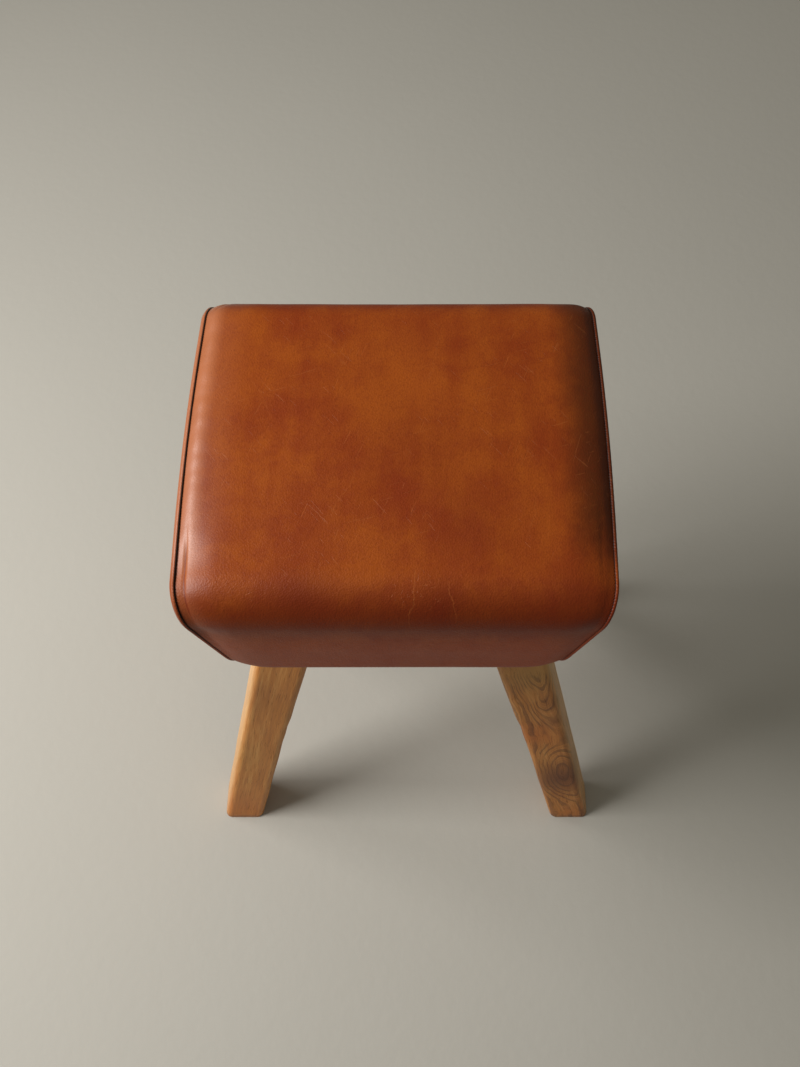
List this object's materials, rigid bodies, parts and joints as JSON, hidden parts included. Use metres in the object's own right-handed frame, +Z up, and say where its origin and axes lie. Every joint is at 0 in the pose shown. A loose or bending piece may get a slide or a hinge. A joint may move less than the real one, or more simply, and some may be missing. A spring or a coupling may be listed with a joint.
{
  "type": "leather bar stool",
  "caption": "Backless counter-height bar stool: a stuffed leather seat shaped like a short vaulting horse, with piped end panels, on splayed wooden legs.",
  "frame": {"origin": "on the floor, under the middle of the seat", "axes": "+X along the seat from the left end panel to the right one, +Y from front to back, +Z up"},
  "size_m": [0.4912, 0.3756, 0.65],
  "materials": {
    "seat_leather": "aged, burnished, satin",
    "piping_leather": "satin",
    "foam": "open-cell foam",
    "core_wood": "sawn, unfinished",
    "leg_wood": "oiled",
    "dust_cloth": "non-woven",
    "screw_steel": "zinc plated",
    "insert_brass": "plain"
  },
  "bodies": {
    "root": {"leather_main_panel": "seat_leather", "left_end_panel": "seat_leather", "right_end_panel": "seat_leather", "left_piping": "piping_leather", "right_piping": "piping_leather", "seat_foam": "foam", "front_foam": "foam", "back_foam": "foam", "left_foam": "foam", "right_foam": "foam", "top_board": "core_wood", "base_board": "core_wood", "front_rail": "core_wood", "back_rail": "core_wood", "left_rail": "core_wood", "right_rail": "core_wood", "glue_blocks": "core_wood", "core_screws": "screw_steel", "dust_cover": "dust_cloth", "front_left_leg": "leg_wood", "front_right_leg": "leg_wood", "back_left_leg": "leg_wood", "back_right_leg": "leg_wood", "leg_bolts": "screw_steel", "bolt_washers": "screw_steel", "leg_inserts": "insert_brass"}
  },
  "joints": []
}
